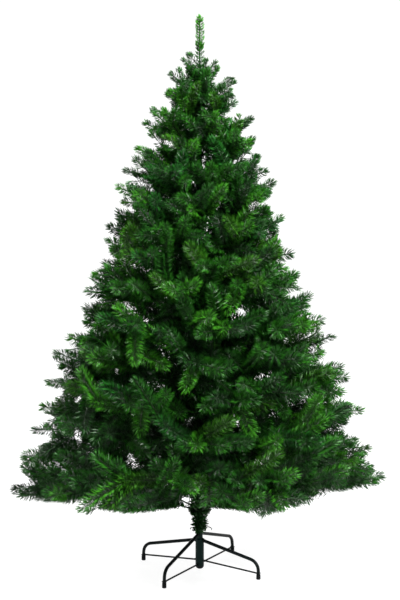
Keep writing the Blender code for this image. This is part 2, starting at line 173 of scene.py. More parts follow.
# each dye twice: the foot of the needles darkened as painted shade near the stem, then their ends paled as painted
# light
NEEDLES = [needle_material(f"needles_{name}_{part}", [c * shade for c in colour], gloss)
           for part, shade in (("foot", 0.50), ("end", 1.16)) for name, colour, gloss in DYES]


def painted_material(name, dark, light, roughness, grain, bump, shine=0.3, metallic=0.0):
    """Paint on metal or plastic: uneven colour, uneven gloss and a fine relief."""
    made, tree, shader = new_material(name)
    nodes, links = tree.nodes, tree.links
    where = nodes.new("ShaderNodeTexCoord")
    noise = nodes.new("ShaderNodeTexNoise")
    noise.inputs["Scale"].default_value = grain
    noise.inputs["Detail"].default_value = 6.0
    links.new(where.outputs["Object"], noise.inputs["Vector"])
    ramp = nodes.new("ShaderNodeValToRGB")
    ramp.color_ramp.elements[0].position, ramp.color_ramp.elements[1].position = 0.32, 0.72
    ramp.color_ramp.elements[0].color = (*dark, 1.0)
    ramp.color_ramp.elements[1].color = (*light, 1.0)
    links.new(noise.outputs["Fac"], ramp.inputs["Fac"])
    links.new(ramp.outputs["Color"], shader.inputs["Base Color"])
    gloss = nodes.new("ShaderNodeMapRange")
    gloss.inputs["From Min"].default_value, gloss.inputs["From Max"].default_value = 0.3, 0.7
    gloss.inputs["To Min"].default_value, gloss.inputs["To Max"].default_value = roughness - 0.07, roughness + 0.10
    links.new(noise.outputs["Fac"], gloss.inputs["Value"])
    links.new(gloss.outputs["Result"], shader.inputs["Roughness"])
    fine = nodes.new("ShaderNodeTexNoise")
    fine.inputs["Scale"].default_value = grain * 9
    fine.inputs["Detail"].default_value = 3.0
    links.new(where.outputs["Object"], fine.inputs["Vector"])
    relief = nodes.new("ShaderNodeBump")
    relief.inputs["Strength"].default_value = bump
    relief.inputs["Distance"].default_value = 0.0004
    links.new(fine.outputs["Fac"], relief.inputs["Height"])
    links.new(relief.outputs["Normal"], shader.inputs["Normal"])
    shader.inputs["Metallic"].default_value = metallic
    shader.inputs["Specular IOR Level"].default_value = shine
    return made


POLE_PAINT = painted_material("pole_paint", (0.0018, 0.0105, 0.0086), (0.0042, 0.0180, 0.0152), 0.38, 60.0, 0.35, 0.08)
STAND_PAINT = painted_material("stand_paint", (0.0014, 0.0038, 0.0036), (0.0036, 0.0080, 0.0074), 0.36, 70.0, 0.35, 0.10)
RUBBER = painted_material("foot_rubber", (0.0020, 0.0030, 0.0034), (0.0060, 0.0075, 0.0080), 0.62, 120.0, 0.6, 0.12)
COLLAR = painted_material("collar_plastic", (0.0026, 0.0085, 0.0060), (0.0070, 0.0180, 0.0120), 0.45, 90.0, 0.4, 0.15)
WIRE = painted_material("bough_wire", (0.006, 0.016, 0.006), (0.020, 0.026, 0.012), 0.5, 140.0, 0.5, 0.2, 0.1)


# ------------------------------------------------------------- mesh collecting
class Sheaf:
    """Points and triangles gathered for one joined piece."""

    def __init__(self):
        self.points, self.faces, self.slots, self.smooth, self.count = [], [], [], [], 0

    def add(self, points, faces, slot=0, smooth=False):
        self.points.append(np.asarray(points, dtype=np.float32))
        self.faces.append(np.asarray(faces, dtype=np.int32) + self.count)
        self.slots.append(np.broadcast_to(np.asarray(slot, dtype=np.int32), len(faces)))
        self.smooth.append(np.full(len(faces), smooth))
        self.count += len(points)

    def build(self, name, materials):
        points, faces = np.concatenate(self.points), np.concatenate(self.faces)
        mesh = bpy.data.meshes.new(name)
        mesh.vertices.add(len(points))
        mesh.vertices.foreach_set("co", points.ravel())
        mesh.loops.add(3 * len(faces))
        mesh.loops.foreach_set("vertex_index", faces.ravel())
        mesh.polygons.add(len(faces))
        mesh.polygons.foreach_set("loop_start", np.arange(0, 3 * len(faces), 3, dtype=np.int32))
        mesh.polygons.foreach_set("material_index", np.concatenate(self.slots))
        mesh.polygons.foreach_set("use_smooth", np.concatenate(self.smooth))
        for mat in materials:
            mesh.materials.append(mat)
        mesh.update()
        mesh.validate()
        obj = bpy.data.objects.new(name, mesh)
        bpy.context.scene.collection.objects.link(obj)
        return obj


def unit(v):
    return v / np.maximum(np.linalg.norm(v, axis=-1, keepdims=True), 1e-12)


def curve_points(start, middle, end, count):
    t = np.linspace(0.0, 1.0, count)[:, None]
    return (1 - t) ** 2 * start + 2 * t * (1 - t) * middle + t ** 2 * end


def frames_along(points):
    """Tangent and two cross directions at each point, carried without a twist."""
    tangent = unit(np.gradient(points, axis=0))
    seed = np.array([0.0, 0.0, 1.0]) if abs(tangent[0, 2]) < 0.8 else np.array([1.0, 0.0, 0.0])
    first = np.empty_like(tangent)
    side = unit(np.cross(tangent[0], seed))
    for k in range(len(points)):
        side = side - tangent[k] * side.dot(tangent[k])
        side = side / max(np.linalg.norm(side), 1e-9)
        first[k] = side
    return tangent, first, np.cross(tangent, first)


def tube(sheaf, points, radii, sides, slot=0, twist=0.0, flute=0.0):
    """A closed tube; flute and twist give it the ridges of twisted wires."""
    tangent, first, second = frames_along(points)
    turn = np.arange(sides) * math.tau / sides
    along = np.concatenate([[0.0], np.cumsum(np.linalg.norm(np.diff(points, axis=0), axis=1))])
    angle = turn[None, :] + (twist * along)[:, None]
    swell = 1.0 + flute * np.cos(2.0 * turn)[None, :]
    radius = np.asarray(radii)[:, None] * swell
    ring = (points[:, None, :] + first[:, None, :] * (np.cos(angle) * radius)[:, :, None]
            + second[:, None, :] * (np.sin(angle) * radius)[:, :, None])
    n = len(points)
    k = np.arange(sides)
    nxt = (k + 1) % sides
    faces = []
    for r in range(n - 1):
        a, b = r * sides, (r + 1) * sides
        faces.append(np.stack([a + k, a + nxt, b + nxt], axis=1))
        faces.append(np.stack([a + k, b + nxt, b + k], axis=1))
    verts = np.concatenate([ring.reshape(-1, 3), points[:1], points[-1:]])
    base, tip = n * sides, n * sides + 1
    faces.append(np.stack([np.full(sides, base), nxt, k], axis=1))
    faces.append(np.stack([np.full(sides, tip), (n - 1) * sides + k, (n - 1) * sides + nxt], axis=1))
    sheaf.add(verts, np.concatenate(faces), slot, True)


def turned(sheaf, profile, sides, centre=(0.0, 0.0), slot=0, ripple=0.0, waves=0):
    """A closed turned shape from rows of (radius, height), its wall rippled where asked."""
    angle = np.arange(sides) * math.tau / sides
    radius = np.array([row[0] for row in profile])[:, None] * (1.0 + ripple * np.cos(waves * angle))[None, :]
    height = np.array([row[1] for row in profile])
    ring = np.stack([centre[0] + radius * np.cos(angle), centre[1] + radius * np.sin(angle),
                     np.repeat(height[:, None], sides, axis=1)], axis=2)
    n, k = len(profile), np.arange(sides)
    nxt = (k + 1) % sides
    faces = []
    for r in range(n - 1):
        a, b = r * sides, (r + 1) * sides
        faces.append(np.stack([a + k, a + nxt, b + nxt], axis=1))
        faces.append(np.stack([a + k, b + nxt, b + k], axis=1))
    ends = [(centre[0], centre[1], height[0]), (centre[0], centre[1], height[-1])]
    faces.append(np.stack([np.full(sides, n * sides), nxt, k], axis=1))
    faces.append(np.stack([np.full(sides, n * sides + 1), (n - 1) * sides + k, (n - 1) * sides + nxt], axis=1))
    sheaf.add(np.concatenate([ring.reshape(-1, 3), ends]), np.concatenate(faces), slot, True)


def plate(sheaf, outline_2d, place, across, up, thick, slot=0):
    """A flat plate: its outline in the plane of two directions, pushed out to both sides."""
    flat = np.array([place + across * x + up * z for x, z in outline_2d])
    out = unit(np.cross(across, up)) * thick * 0.5
    n = len(flat)
    k = np.arange(n)
    nxt = (k + 1) % n
    sides = np.concatenate([np.stack([k, k + n, nxt + n], axis=1), np.stack([k, nxt + n, nxt], axis=1)])
    front = np.array([[0, i, i + 1] for i in range(1, n - 1)])
    sheaf.add(np.concatenate([flat + out, flat - out]), np.concatenate([sides, front, front[:, ::-1] + n]), slot)


# ------------------------------------------------------------------ the crown
LEVELS = np.array([row[0] for row in OUTLINE])


def outline(z, azimuth):
    """How far the crown reaches at a height, between its two measured sides."""
    left = np.interp(z, LEVELS, [row[1] for row in OUTLINE])
    right = np.interp(z, LEVELS, [row[2] for row in OUTLINE])
    return (left + right) / 2 + (right - left) / 2 * math.cos(azimuth)


VIEW = np.array([0.001, -4.2, 1.3945])       # where the crown is seen from in front


def edge_of(tips, notches):
    """The crown's edge on one side as height and reach, from the bottom up."""
    rows = sorted([*((r, z, 1) for r, z in tips), *((r, z, 0) for r, z in notches)], key=lambda row: row[1])
    made = []
    for k, (reach, z, is_tip) in enumerate(rows):
        if is_tip:                                # the end of a finger is round, not a point
            below = min(0.012, 0.55 * (z - rows[k - 1][1])) if k else 0.012
            above = min(0.012, 0.55 * (rows[k + 1][1] - z)) if k + 1 < len(rows) else 0.010
            made += [(z - below, reach - 0.003), (z, reach), (z + above, reach - 0.003)]
        else:
            made.append((z, reach))
    return np.array([row[0] for row in made]), np.array([row[1] for row in made])


EDGES = (edge_of(LEFT_TIPS, LEFT_NOTCHES), edge_of(RIGHT_TIPS, RIGHT_NOTCHES))
LOWER = np.array(LOWER_EDGE)
GAPS = np.array(SKY_GAPS)


def in_the_open(points, slack):
    """Which points would show against the sky in front: past the edge or in a gap."""
    scale = VIEW[1] / (VIEW[1] - points[:, 1])
    x = VIEW[0] + (points[:, 0] - VIEW[0]) * scale
    z = VIEW[2] + (points[:, 2] - VIEW[2]) * scale
    reach = np.where(x < 0.0, np.interp(z, *EDGES[0]), np.interp(z, *EDGES[1]))
    away = (np.abs(x) > reach + slack) & (z < 1.662)
    away |= z < np.interp(x, LOWER[:, 0], LOWER[:, 1]) - slack
    dx, dz = x[:, None] - GAPS[:, 0], z[:, None] - GAPS[:, 1]
    turn = np.radians(GAPS[:, 4])
    long = (dx * np.cos(turn) + dz * np.sin(turn)) / GAPS[:, 2]
    wide = (dz * np.cos(turn) - dx * np.sin(turn)) / (GAPS[:, 3] + 0.001)
    size = 1.22 - 80.0 * np.reshape(slack, (-1, 1))
    return away | (long ** 2 + wide ** 2 < size ** 2).any(axis=1)


def hidden_part(points):
    """How many of a stem's points to keep, so that no bare end stands in the open."""
    seen = in_the_open(points, np.full(len(points), 0.006))
    covered = np.flatnonzero(~seen)
    return int(covered[-1]) + 1 if len(covered) else 0


def place_seen(x, y, z):
    """The point at depth y that shows in front at x, z on the plane of the pole."""
    scale = (VIEW[1] - y) / VIEW[1]
    return np.array([VIEW[0] + (x - VIEW[0]) * scale, y, VIEW[2] + (z - VIEW[2]) * scale])


def side_share(azimuth):
    """1 at the crown's left and right, nothing in front and behind."""
    return float(np.clip((abs(math.cos(azimuth)) - 0.80) / 0.14, 0.0, 1.0))


def underside(reach, azimuth):
    slope = np.interp(math.degrees(azimuth) % 360.0, [row[0] for row in UNDERSIDE], [row[1] for row in UNDERSIDE])
    low = TIERS[0][0] - 0.002 + slope * reach
    x, y = reach * math.cos(azimuth), reach * math.sin(azimuth)
    if y < 0.0 and abs(x - LIFT_X) < LIFT_HALF:
        low = max(low, LIFT_BASE - LIFT_SLOPE * y)
    return low


class Shoot:
    """A stretch of stem that carries needles."""

    def __init__(self, points, radii, needle, dense, tint, open_angle=54.0, brush=BRUSH, inner=0.4, width=1.0):
        self.points, self.radii, self.needle = points, radii, needle
        self.tint, self.open_angle, self.width = tint, open_angle, width
        self.length = float(np.linalg.norm(np.diff(points, axis=0), axis=1).sum())
        self.full = min(brush, self.length)      # the fully bound end
        # needles to the millimetre there and before it, relative; more of the short ones near the top
        self.dense, self.inner = dense * float(np.interp(points[-1][2], (1.15, 1.50), (1.0, 1.35))), inner
        self.fan = WINDING / 6.0 * RNG.uniform(0.88, 1.15)
        self.trimmed, self.room = True, 0.0

    def weight(self):
        return self.dense * (self.full + self.inner * (self.length - self.full))


SHOOTS = []
TIP_ENDS = []
STEMS = Sheaf()


def lean_of(azimuth):
    return np.array([math.cos(azimuth), math.sin(azimuth), 0.0])


UP = np.array([0.0, 0.0, 1.0])


def pick_tint(layer, z):
    """A spray's dye: darker inside and low in the crown as painted shade, paler on the outer tips as painted light."""
    # the low-crown weights and the inner layers' weights favour the deep and forest dyes as painted shade
    low = (0.27, 0.34, 0.19, 0.09, 0.07, 0.04)
    weights = ((0.15, 0.29, 0.24, 0.17, 0.09, 0.06), (0.28, 0.38, 0.20, 0.04, 0.02, 0.08))[min(layer, 1)]
    return int(RNG.choice(6, p=low if z < RNG.uniform(0.30, 0.62) and not layer else weights))


class Bough:
    """The main wire of a hinged bough, hooked into a collar on the pole."""

    def __init__(self, tier, azimuth):
        collar_z, rise, _, needle, _ = TIERS[tier]
        share = tier / (len(TIERS) - 1)
        out = lean_of(azimuth)
        tip_z = collar_z + rise + RNG.normal(0.0, 0.008)
        if tier < 2:
            tip_z = max(tip_z - 0.012, underside(0.6, azimuth) + 0.022 + 0.055 * tier)
        reach = (outline(tip_z, azimuth) * (1.0 - 0.06 * side_share(azimuth)) - 0.022) * RNG.uniform(0.95, 1.0)
        start = out * 0.026 + UP * collar_z
        end = out * reach + UP * tip_z + lean_of(azimuth + math.pi / 2) * RNG.normal(0.0, 0.018) * reach
        bow = (0.34 - 0.50 * share) * (tip_z - collar_z)
        middle = start + (end - start) * 0.5 + UP * bow
        self.points = curve_points(start, middle, end, 17)
        kept = hidden_part(self.points)
        if kept < 17:
            self.points = curve_points(start, middle, self.points[max(kept, 12) - 1], 17)
        self.tangent = frames_along(self.points)[0]
        self.needle, self.tier, self.share = needle, tier, share
        self.wire = 0.0023 - 0.0009 * share
        radii = np.linspace(self.wire, self.wire * 0.5, 17)
        tube(STEMS, self.points, radii, 6, 0, twist=700.0, flute=0.16)
        bare = 1 if tier else 5 if out[1] < -0.7 and out[0] < 0.1 else 1
        SHOOTS.append(Shoot(self.points[bare:], (self.wire, self.wire * 0.5), needle, 1.0,
                            pick_tint(0, tip_z), 62.0, inner=0.45))
        TIP_ENDS.append(self.points[-1])
        self.wires = [(self.points, self.tangent)]
        if reach > 0.20:
            for hand in (-1.0, 1.0):
                self.lateral(azimuth, hand, reach)
        self.fork(azimuth)

    def lateral(self, azimuth, hand, reach):
        """A long side wire that leaves the bough near its middle and runs out beside it."""
        k = int(RNG.integers(5, 9))
        place, along = self.points[k], self.tangent[k]
        turned = azimuth + hand * math.pi / TIERS[self.tier][2] * RNG.uniform(0.52, 0.85)
        height = self.points[-1][2] + RNG.uniform(-0.03, 0.085)
        height = max(height, underside(0.55, turned) + 0.03)
        far = (outline(height, turned) * (1.0 - 0.06 * side_share(turned)) - 0.022) * RNG.uniform(0.91, 1.0)
        end = lean_of(turned) * far + UP * height
        away = end - place
        size = float(np.linalg.norm(away))
        middle = place + unit(away / size + along * 0.35 - UP * RNG.uniform(0.0, 0.4)) * size * 0.5
        points = curve_points(place, middle, end, 12)
        points = points[:max(hidden_part(points), 6)]
        end = points[-1]
        tube(STEMS, points, np.linspace(0.0017, 0.0007, len(points)), 5, 0, twist=700.0, flute=0.14)
        SHOOTS.append(Shoot(points, (0.0017, 0.0007), self.needle * RNG.uniform(0.94, 1.05), 1.0, pick_tint(0, height),
                            RNG.uniform(56.0, 64.0), inner=0.45))
        TIP_ENDS.append(end)
        self.wires.append((points, frames_along(points)[0]))

    def fork(self, azimuth):
        """The regular side tips near the end, left and right in turn."""
        size = float(np.linalg.norm(self.points[-1] - self.points[0]))
        hand = RNG.choice([-1.0, 1.0])
        for f in ((0.88, 0.76) if size > 0.30 else (0.86, 0.70) if size > 0.12 else ()):
            hand = -hand
            k = f * 16
            i = int(k)
            place = self.points[i] + (self.points[i + 1] - self.points[i]) * (k - i)
            along = self.tangent[i]
            left = unit(np.cross(UP, along))
            over = np.cross(along, left)
            angle = math.radians(RNG.uniform(34.0, 50.0))
            tilt = math.radians(RNG.uniform(-28.0, 42.0))
            way = along * math.cos(angle) + (left * hand * math.cos(tilt) + over * math.sin(tilt)) * math.sin(angle)
            long = (0.085 + 0.10 * size) * RNG.uniform(0.85, 1.1)
            end = place + way * long
            most = outline(end[2], math.atan2(end[1], end[0])) * RNG.uniform(0.93, 0.99) - 0.022
            if math.hypot(end[0], end[1]) > most:
                long = max(0.06, long - (math.hypot(end[0], end[1]) - most))
                end = place + way * long
            add_shoot(place, along, end, self.needle, 0)



def add_shoot(place, along, end, needle, layer, curl=0.35, edge=False):
    """A side tip: it leaves with a little of its wire's direction and curls to its end."""
    away = end - place
    reach = float(np.linalg.norm(away))
    middle = place + unit(away / reach + along * curl) * reach * 0.5
    points = curve_points(place, middle, end, 6 if layer else 8)
    if not edge:
        if in_the_open(points[1:], np.full(len(points) - 1, 0.006)).mean() > 0.40:
            return
        points = points[:max(hidden_part(points), 3)]
        end = points[-1]
    wire = 0.0012
    tube(STEMS, points, np.linspace(wire, wire * 0.45, len(points)), 3 if layer else 4, 1)
    dense, width = ((1.0, 1.0), (0.70, 1.35), (0.45, 1.9), (0.40, 2.2))[layer]
    SHOOTS.append(Shoot(points, (wire, wire * 0.45), needle * RNG.uniform(0.93, 1.06), dense, pick_tint(layer, end[2]),
                        RNG.uniform(58.0, 67.0), width=width))
    SHOOTS[-1].room = 0.007 if edge else 0.0
    if layer == 0:
        TIP_ENDS.append(end)


BOUGHS = []
for number, (_, _, count, _, turn) in enumerate(TIERS):
    for k in range(count):
        BOUGHS.append(Bough(number, math.radians(turn + 360.0 * k / count + RNG.normal(0.0, 3.5))))
WIRE_POINTS = np.concatenate([points[2:-1] for b in BOUGHS for points, _ in b.wires])
WIRE_TANGENTS = np.concatenate([tangent[2:-1] for b in BOUGHS for _, tangent in b.wires])
WIRE_OWNER = np.concatenate([np.full(sum(len(points[2:-1]) for points, _ in b.wires), k) for k, b in enumerate(BOUGHS)])


def grow_to(target, layer, leans=(38.0, 68.0), wish=None, edge=False):
    """A side shoot forks off the wire from which it can reach the target best."""
    away = target - WIRE_POINTS
    far = np.linalg.norm(away, axis=1)
    lean = np.degrees(np.arccos(np.clip((away * WIRE_TANGENTS).sum(1) / far, -1.0, 1.0)))
    size = math.hypot(target[0], target[1])
    wish = wish or 0.090 + 0.10 * size
    cost = ((lean - RNG.uniform(*leans)) / 15.0) ** 2 + ((far - wish) / 0.045) ** 2 + RNG.uniform(0.0, 1.0, len(far))
    if edge:                                     # a finger points outwards, more steeply near the top
        slope = np.degrees(np.arcsin(away[:, 2] / far)) - np.interp(target[2], (0.3, 0.9, 1.6), (4.0, 18.0, 40.0))
        cost += (slope / 9.0) ** 2 + np.where(np.hypot(WIRE_POINTS[:, 0], WIRE_POINTS[:, 1]) > 0.92 * size, 9.0, 0.0)
    k = int(np.argmin(cost))
    if far[k] < 0.36:
        add_shoot(WIRE_POINTS[k], WIRE_TANGENTS[k], target, BOUGHS[WIRE_OWNER[k]].needle, layer, RNG.uniform(0.1, 0.5), edge)


def spread_tips():
    """Tips spread over the crown's surface, with looser layers of them inside."""
    for layer, (depth, gap, loose) in enumerate(((1.0, SPACING, 0.085), (0.72, 0.100, 0.09), (0.46, 0.105, 0.12), (0.22, 0.080, 0.12))):
        z = 0.235
        row = 0
        while z < 1.635:
            around = outline(z, math.pi / 2) * depth
            count = max(3, int(round(math.tau * around / gap)))
            start = RNG.uniform(0.0, math.tau)
            for k in range(count):
                azimuth = start + math.tau * (k + RNG.uniform(-0.3, 0.3)) / count
                height = z + RNG.normal(0.0, 0.016)
                reach = (outline(height, azimuth) * (1.0 - 0.075 * side_share(azimuth)) - 0.022) * depth * (1.0 - min(0.2, abs(RNG.normal(0.0, loose)) * (1.0 if layer else RNG.choice([0.15, 1.6]))))
                low = underside(reach, azimuth) + 0.018
                if height < low:
                    reach = (height - 0.018 - TIERS[0][0]) / max(0.02, underside(1.0, azimuth) - TIERS[0][0])
                    if reach < 0.16 or height < underside(reach, azimuth) + 0.016:
                        continue
                target = lean_of(azimuth) * reach + UP * height
                if layer == 0 and np.linalg.norm(np.array(TIP_ENDS) - target, axis=1).min() < 0.052:
                    continue
                grow_to(target, layer)
            z += gap * (0.80 if layer == 0 else 0.95) * (0.74 + 0.26 * around / 0.6)
            row += 1


def grow_sides():
    """The fingers at the two sides, and the tips that hang below."""
    for hand, tips in ((-1.0, LEFT_TIPS), (1.0, RIGHT_TIPS)):
        for reach, z in tips:
            back = np.interp(z, (0.9, 1.6), (0.018, 0.010))
            end = place_seen(hand * (reach - back), RNG.normal(0.0, 0.09) * reach, z - 0.003)
            grow_to(end, 0, (12.0, 40.0), 0.105 + 0.14 * reach, True)
            for turn in (-1.0, 1.0):                       # one tip beside it on each side
                drop = np.interp(z, (0.9, 1.6), (0.045, 0.028)) * RNG.uniform(0.8, 1.2)
                end = place_seen(hand * (reach - back - drop), turn * (0.03 + 0.10 * reach) + RNG.normal(0.0, 0.02),
                                 z - turn * RNG.uniform(0.006, 0.020))
                grow_to(end, 0, (12.0, 50.0), 0.105 + 0.12 * reach)
    for x, z in EXTRA_TIPS:
        back = np.interp(z, (0.9, 1.6), (0.018, 0.010))
        end = place_seen(x - math.copysign(back, x), RNG.normal(0.0, 0.09) * abs(x), z - 0.003)
        grow_to(end, 0, (12.0, 40.0), 0.105 + 0.14 * abs(x), True)
    for place in HANGING_TIPS:
        grow_to(np.array(place) + UP * 0.016, 0, (20.0, 60.0), 0.15)


def cover_pole():
    """Tips in front of the pole and behind it, up the narrow part of the crown."""
    for side in (-math.pi / 2, math.pi / 2):
        for z in np.arange(0.86, 1.64, 0.042):
            azimuth = side + RNG.normal(0.0, 0.22)
            reach = outline(z, azimuth) * RNG.uniform(0.62, 0.92) - 0.012
            grow_to(lean_of(azimuth) * reach + UP * z, 0, (20.0, 60.0), 0.075 + 0.12 * reach)


grow_sides()
cover_pole()
spread_tips()


def grow_leader():
    """The single upright brush that ends the pole."""
    # the two upper brushes take the palest, fresh dye as painted light on the crown's top
    for heights, needle, dense, tint, angle, fan in (((1.575, 1.605, 1.635, 1.665, 1.700), 0.0225, 1.00, 2, 52.0, 0.0042),
                                                     ((1.690, 1.715, 1.740, 1.765, 1.784), 0.0205, 0.95, 3, 54.0, 0.0028),
                                                     ((1.575, 1.635, 1.690, 1.740, 1.784), 0.0115, 0.50, 3, 58.0, 0.0011)):
        points = np.array([[RNG.normal(0.0, 0.0007), RNG.normal(0.0, 0.0007), z] for z in heights])
        brush = Shoot(points, (0.0022, 0.0015), needle, dense, tint, angle, brush=1.0, width=1.2)
        brush.fan = fan
        SHOOTS.append(brush)


grow_leader()


def needle_mesh(shoot, per_metre):
    """Flat pointed needles round one stem: four points and two triangles each."""
    rng = RNG
    points = shoot.points
    steps = np.linalg.norm(np.diff(points, axis=0), axis=1)
    along = np.concatenate([[0.0], np.cumsum(steps)])
    total = along[-1]
    count = max(8, int(per_metre * shoot.weight()))
    row = np.arange(count) % 2
    # spaced by how densely each stretch is bound
    lead = total - shoot.full
    share = (np.arange(count) + rng.uniform(0.0, 1.0, count)) / count * (shoot.full + shoot.inner * lead)
    s = np.where(share < shoot.inner * lead, share / max(shoot.inner, 1e-6), share + (1.0 - shoot.inner) * lead)
    step = np.floor(s / shoot.fan)
    fan = (2 * step + row).astype(int)                       # the bundle that each needle belongs to
    fans = int(fan.max()) + 1
    s = np.clip((step + 0.5) * shoot.fan + rng.normal(0.0, 0.0003, count), 0.0, total)
    tangent, first, second = frames_along(points)
    place = np.stack([np.interp(s, along, points[:, i]) for i in range(3)], axis=1)
    t = unit(np.stack([np.interp(s, along, tangent[:, i]) for i in range(3)], axis=1))
    e1 = np.stack([np.interp(s, along, first[:, i]) for i in range(3)], axis=1)
    e1 = unit(e1 - t * (e1 * t).sum(1, keepdims=True))
    e2 = np.cross(t, e1)
    # the film is held between twisted wires, so it stands in two winding rows of small fans
    phi = math.tau * step / 6.0 + math.pi * row + rng.normal(0.0, 0.08, count)
    left = total - s
    close = np.clip(1.0 - left / 0.026, 0.0, 1.0)           # 1 at the very end
    phi = phi + close * rng.normal(0.0, 0.5, count)
    radial = e1 * np.cos(phi)[:, None] + e2 * np.sin(phi)[:, None]
    angle = np.radians(shoot.open_angle + rng.normal(0.0, 3.5, fans)[fan] + rng.normal(0.0, 2.4, count)) * (1.0 - close * rng.uniform(0.05, 1.0, count))
    length = shoot.needle * rng.uniform(0.86, 1.06, count) * (1.0 - 0.16 * close)
    bend = np.radians(rng.uniform(5.0, 14.0, fans)[fan])
    a1, a2 = (angle + bend)[:, None], (angle - bend)[:, None]
    d1 = t * np.cos(a1) + radial * np.sin(a1)
    d2 = t * np.cos(a2) + radial * np.sin(a2)
    radius = (shoot.radii[0] + (shoot.radii[1] - shoot.radii[0]) * s / total)[:, None]
    base = place + radial * radius * 0.7
    middle = base + d1 * (length * 0.52)[:, None]
    tip = middle + d2 * (length * 0.48)[:, None]
    flat = np.cross(t, radial)
    twist = (rng.uniform(-1.15, 1.15, fans)[fan] + rng.normal(0.0, 0.22, count))[:, None]
    width = flat * np.cos(twist) + np.cross(d1, flat) * np.sin(twist)
    slim = (shoot.needle / 0.032) ** 0.2
    half = width * (NEEDLE_WIDTH * 0.5 * slim * shoot.width * rng.uniform(0.85, 1.15, count))[:, None]
    if shoot.trimmed:
        # cut short where it would reach into the open
        slack = rng.uniform(0.001, 0.010, count) + shoot.room
        size = np.zeros(count)
        for part in (1.0, 0.78, 0.56):
            away = in_the_open(base + (tip - base) * part, slack) | in_the_open(base + (tip - base) * part * 0.5, slack)
            size[(size == 0.0) & ~away] = part
        keep = size > 0.0
        base, size = base[keep], size[keep][:, None]
        middle, tip = base + (middle[keep] - base) * size, base + (tip[keep] - base) * size
        half = half[keep] * (0.4 + 0.6 * size)
        count = len(base)
    verts = np.stack([base, middle + half, tip, middle - half], axis=1).reshape(-1, 3)
    q = np.arange(count)[:, None] * 4
    faces = np.concatenate([q + [0, 1, 3], q + [1, 2, 3]], axis=1).reshape(-1, 3)
    # the half of each needle at the stem takes the darker copy of its dye as painted shade, the outer half the paler
    # copy as painted light
    return verts, faces, np.tile([shoot.tint, shoot.tint + len(DYES)], count)


# which mass of the frame each shoot belongs to, by where its middle lies
MASS_FOOT = (0.186, 0.350, 0.545, 0.760, 0.975, 1.190, 1.405)
MASS_SLOPE = (0.060, 0.080, 0.110, 0.150, 0.210, 0.290, 0.420)
MASS_LIFT, MASS_LIFT_RIGHT = (0.145, 0.055, 0.0, 0.0, 0.0, 0.0, 0.0), (0.050, 0.020, 0.0, 0.0, 0.0, 0.0, 0.0)
NODES = sorted(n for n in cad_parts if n.startswith("foliage_tier"))


def tier_of(point):
    reach = max(1e-6, math.hypot(point[0], point[1]))
    front, right = max(0.0, -point[1] / reach), max(0.0, point[0] / reach)
    level = 0
    for k in range(1, 7):
        if point[2] > MASS_FOOT[k] + (MASS_SLOPE[k] + MASS_LIFT[k] * front ** 0.8 + MASS_LIFT_RIGHT[k] * right) * reach:
            level = k
    return level


GROUPS = {}      # piece name -> (its sheaf, the nodes that it stands for)
HALVES = {1: ("abc", "def"), 2: ("abc", "def")}


def group_of(point):
    tier = tier_of(point) + 1
    if tier in HALVES:
        half = 0 if point[1] > 0 else 1
        return f"needles_tier{tier}_{'back' if half == 0 else 'front'}", [
            n for n in NODES if n.startswith(f"foliage_tier{tier}_") and n[-1] in HALVES[tier][half]]
    if tier >= 6:
        return "needles_top", [n for n in NODES if n[12] in "67"] + ["foliage_leader"]
    return f"needles_tier{tier}", [n for n in NODES if n.startswith(f"foliage_tier{tier}_")]


def bind_needles():
    weight = sum(s.weight() for s in SHOOTS)
    per_metre = NEEDLE_TRIANGLES / 2 / weight
    for shoot in SHOOTS:
        verts, faces, slots = needle_mesh(shoot, per_metre)
        if not len(faces):
            continue
        name, nodes = group_of(shoot.points[len(shoot.points) // 2])
        sheaf, _ = GROUPS.setdefault(name, (Sheaf(), nodes))
        sheaf.add(verts, faces, slots)
    print("shoots", len(SHOOTS), "stem metres", round(weight, 1), "needles per mm", round(per_metre / 1000, 2))
    made = []
    for name, (sheaf, nodes) in sorted(GROUPS.items()):
        obj = sheaf.build(name, NEEDLES)
        print(name, len(obj.data.polygons))
        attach(obj, "root")
        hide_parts(*nodes)
        made.append(obj)
    return made


bind_needles()
stems = STEMS.build("twigs", [WIRE, WIRE])
print("twigs", len(stems.data.polygons))
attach(stems, "root")
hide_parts(*[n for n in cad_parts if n.startswith("bough_") and n != "bough_collar"])


# ------------------------------------------------------ pole, collars and wrap
POLE_ROWS = (          # radius, height: three tubes that plug into one another, then the leader's wire
    (0.0070, 0.0165), (0.0084, 0.0170), (0.0086, 0.0180), (0.0086, 0.5560), (0.0086, 0.9220), (0.0089, 0.9240),
    (0.0089, 0.9296), (0.0086, 0.9306), (0.0079, 0.9309), (0.0078, 0.9400), (0.0078, 1.5400), (0.0077, 1.5560),
    (0.0066, 1.5596), (0.0030, 1.5602), (0.0024, 1.5640), (0.0022, 1.7790), (0.0014, 1.7820),
)


def build_pole():
    sheaf = Sheaf()
    turned(sheaf, POLE_ROWS, 32)
    obj = sheaf.build("pole_tubes", [POLE_PAINT])
    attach(obj, "root")
    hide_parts("pole")


